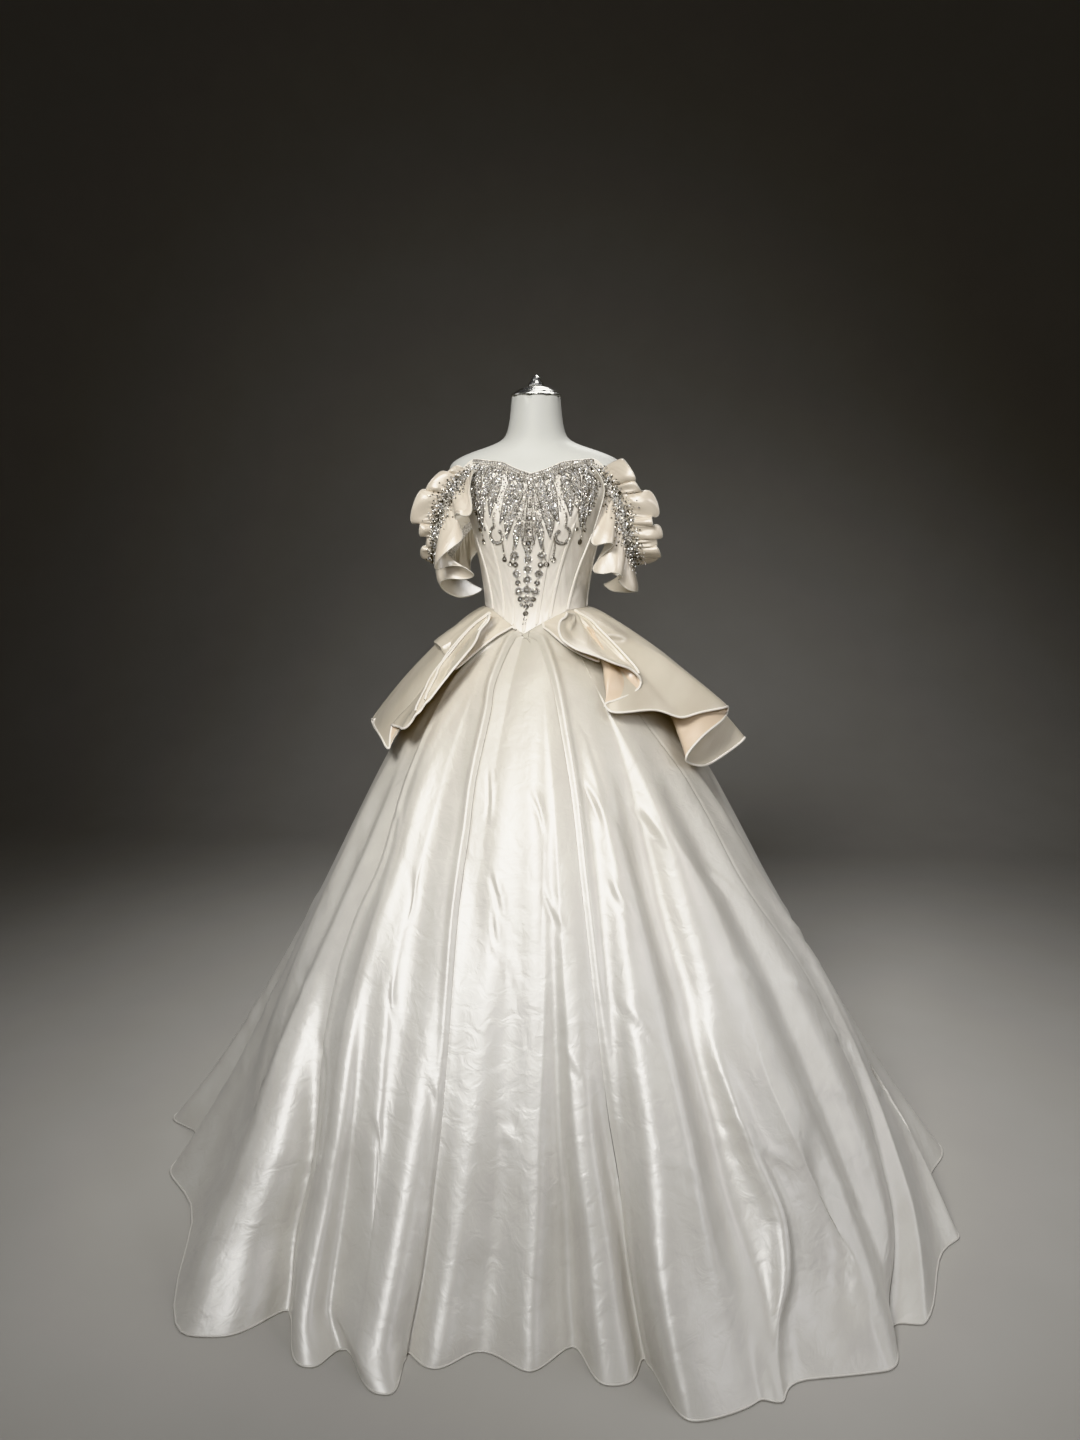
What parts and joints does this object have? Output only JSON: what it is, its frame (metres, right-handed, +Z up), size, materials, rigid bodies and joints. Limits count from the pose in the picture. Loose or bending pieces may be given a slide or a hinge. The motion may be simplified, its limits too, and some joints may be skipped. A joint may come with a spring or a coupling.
{
  "type": "ball gown on a limbless dress form",
  "caption": "Off-shoulder ball gown with a boned bodice, beaded applique, gored full skirt, cascading peplum and ruffled sleeves, standing on a limbless dress form.",
  "frame": {"origin": "centre of the stand's base where it rests on the floor, under the form's pole", "axes": "+Z up, the gown's front faces -Y, +X towards the wearer's left"},
  "size_m": [1.656, 1.8109, 1.5826],
  "materials": {
    "ivory_satin": "ivory duchesse satin with a soft, broad sheen and fine creases",
    "champagne_satin": "the same satin on its warmer side, with piped and rolled edges",
    "silver_beads": "silver-lined beads and crystals sewn close on nude net",
    "form_white": "off-white satin-finish shell of the dress form",
    "polished_silver": "polished silver neck cap and finial",
    "stand_steel": "brushed steel pole and round base"
  },
  "bodies": {
    "root": {"beads_chain_centre": "silver_beads", "beads_chain_left": "silver_beads", "beads_chain_right": "silver_beads", "beads_leaf_centre": "silver_beads", "beads_leaf_inner_left": "silver_beads", "beads_leaf_inner_right": "silver_beads", "beads_leaf_outer_left": "silver_beads", "beads_leaf_outer_right": "silver_beads", "beads_neckline": "silver_beads", "beads_spray_left": "silver_beads", "beads_spray_right": "silver_beads", "bodice_back_left": "ivory_satin", "bodice_back_right": "ivory_satin", "bodice_centre_front": "ivory_satin", "bodice_front_left": "ivory_satin", "bodice_front_right": "ivory_satin", "bodice_side_back_left": "ivory_satin", "bodice_side_back_right": "ivory_satin", "bodice_side_front_left": "ivory_satin", "bodice_side_front_right": "ivory_satin", "bodice_side_left": "ivory_satin", "bodice_side_right": "ivory_satin", "boning_centre_front": "champagne_satin", "boning_front_left": "champagne_satin", "boning_front_right": "champagne_satin", "boning_side_back_left": "champagne_satin", "boning_side_back_right": "champagne_satin", "boning_side_front_left": "champagne_satin", "boning_side_front_right": "champagne_satin", "boning_side_left": "champagne_satin", "boning_side_right": "champagne_satin", "boning_side_seam_left": "champagne_satin", "boning_side_seam_right": "champagne_satin", "form_cap_finial": "polished_silver", "form_neck_cap": "polished_silver", "form_torso": "form_white", "peplum_left": "champagne_satin", "peplum_right": "champagne_satin", "skirt_back_left": "ivory_satin", "skirt_back_right": "ivory_satin", "skirt_centre_front": "ivory_satin", "skirt_side_back_left": "ivory_satin", "skirt_side_back_right": "ivory_satin", "skirt_side_front_left": "ivory_satin", "skirt_side_front_right": "ivory_satin", "skirt_side_left": "ivory_satin", "skirt_side_right": "ivory_satin", "sleeve_band_left": "silver_beads", "sleeve_band_right": "silver_beads", "sleeve_lower_ruffle_left": "ivory_satin", "sleeve_lower_ruffle_right": "ivory_satin", "sleeve_upper_ruffle_left": "ivory_satin", "sleeve_upper_ruffle_right": "ivory_satin", "stand_base": "stand_steel", "stand_pole": "stand_steel"}
  },
  "joints": []
}
